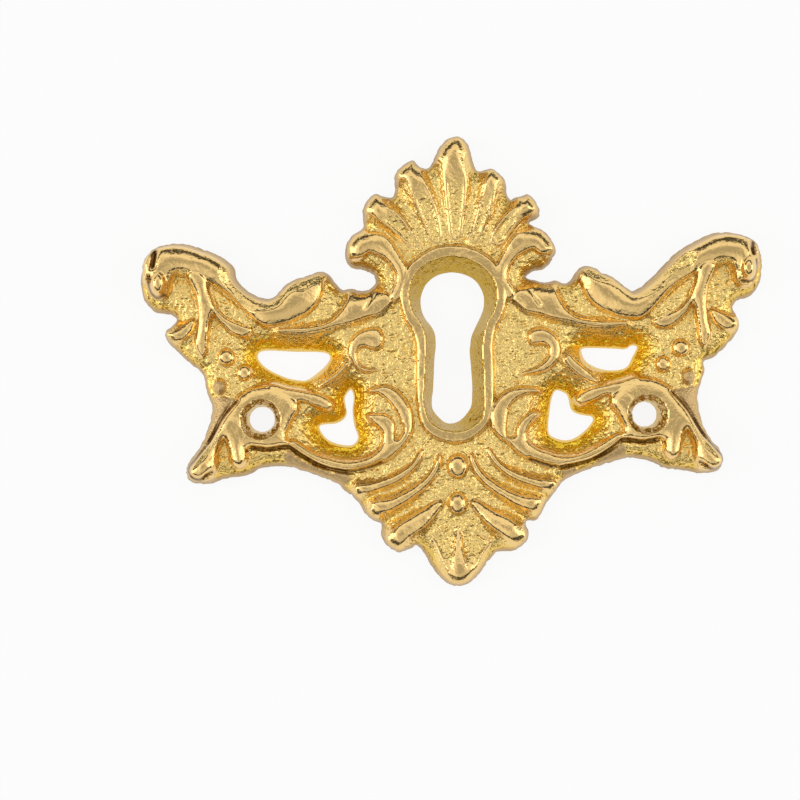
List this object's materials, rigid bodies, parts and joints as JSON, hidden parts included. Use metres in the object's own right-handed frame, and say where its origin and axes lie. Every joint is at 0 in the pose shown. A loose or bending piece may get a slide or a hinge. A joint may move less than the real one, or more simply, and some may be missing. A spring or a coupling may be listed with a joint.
{
  "type": "keyhole escutcheon",
  "caption": "Cast brass keyhole cover plate with pierced leaf and scroll relief, a rimmed keyhole and countersunk pin holes, pinned flat to a cabinet door or drawer front.",
  "frame": {"origin": "centre of the keyhole's round end, on the plane of the flat back", "axes": "+X to the right seen from the front, +Y up towards the crest, +Z out of the carved front"},
  "size_m": [0.0628, 0.0455, 0.0047],
  "materials": {
    "brass": "sand cast, with polished high spots and a grainy ground"
  },
  "bodies": {
    "root": {"escutcheon": "brass"}
  },
  "joints": []
}
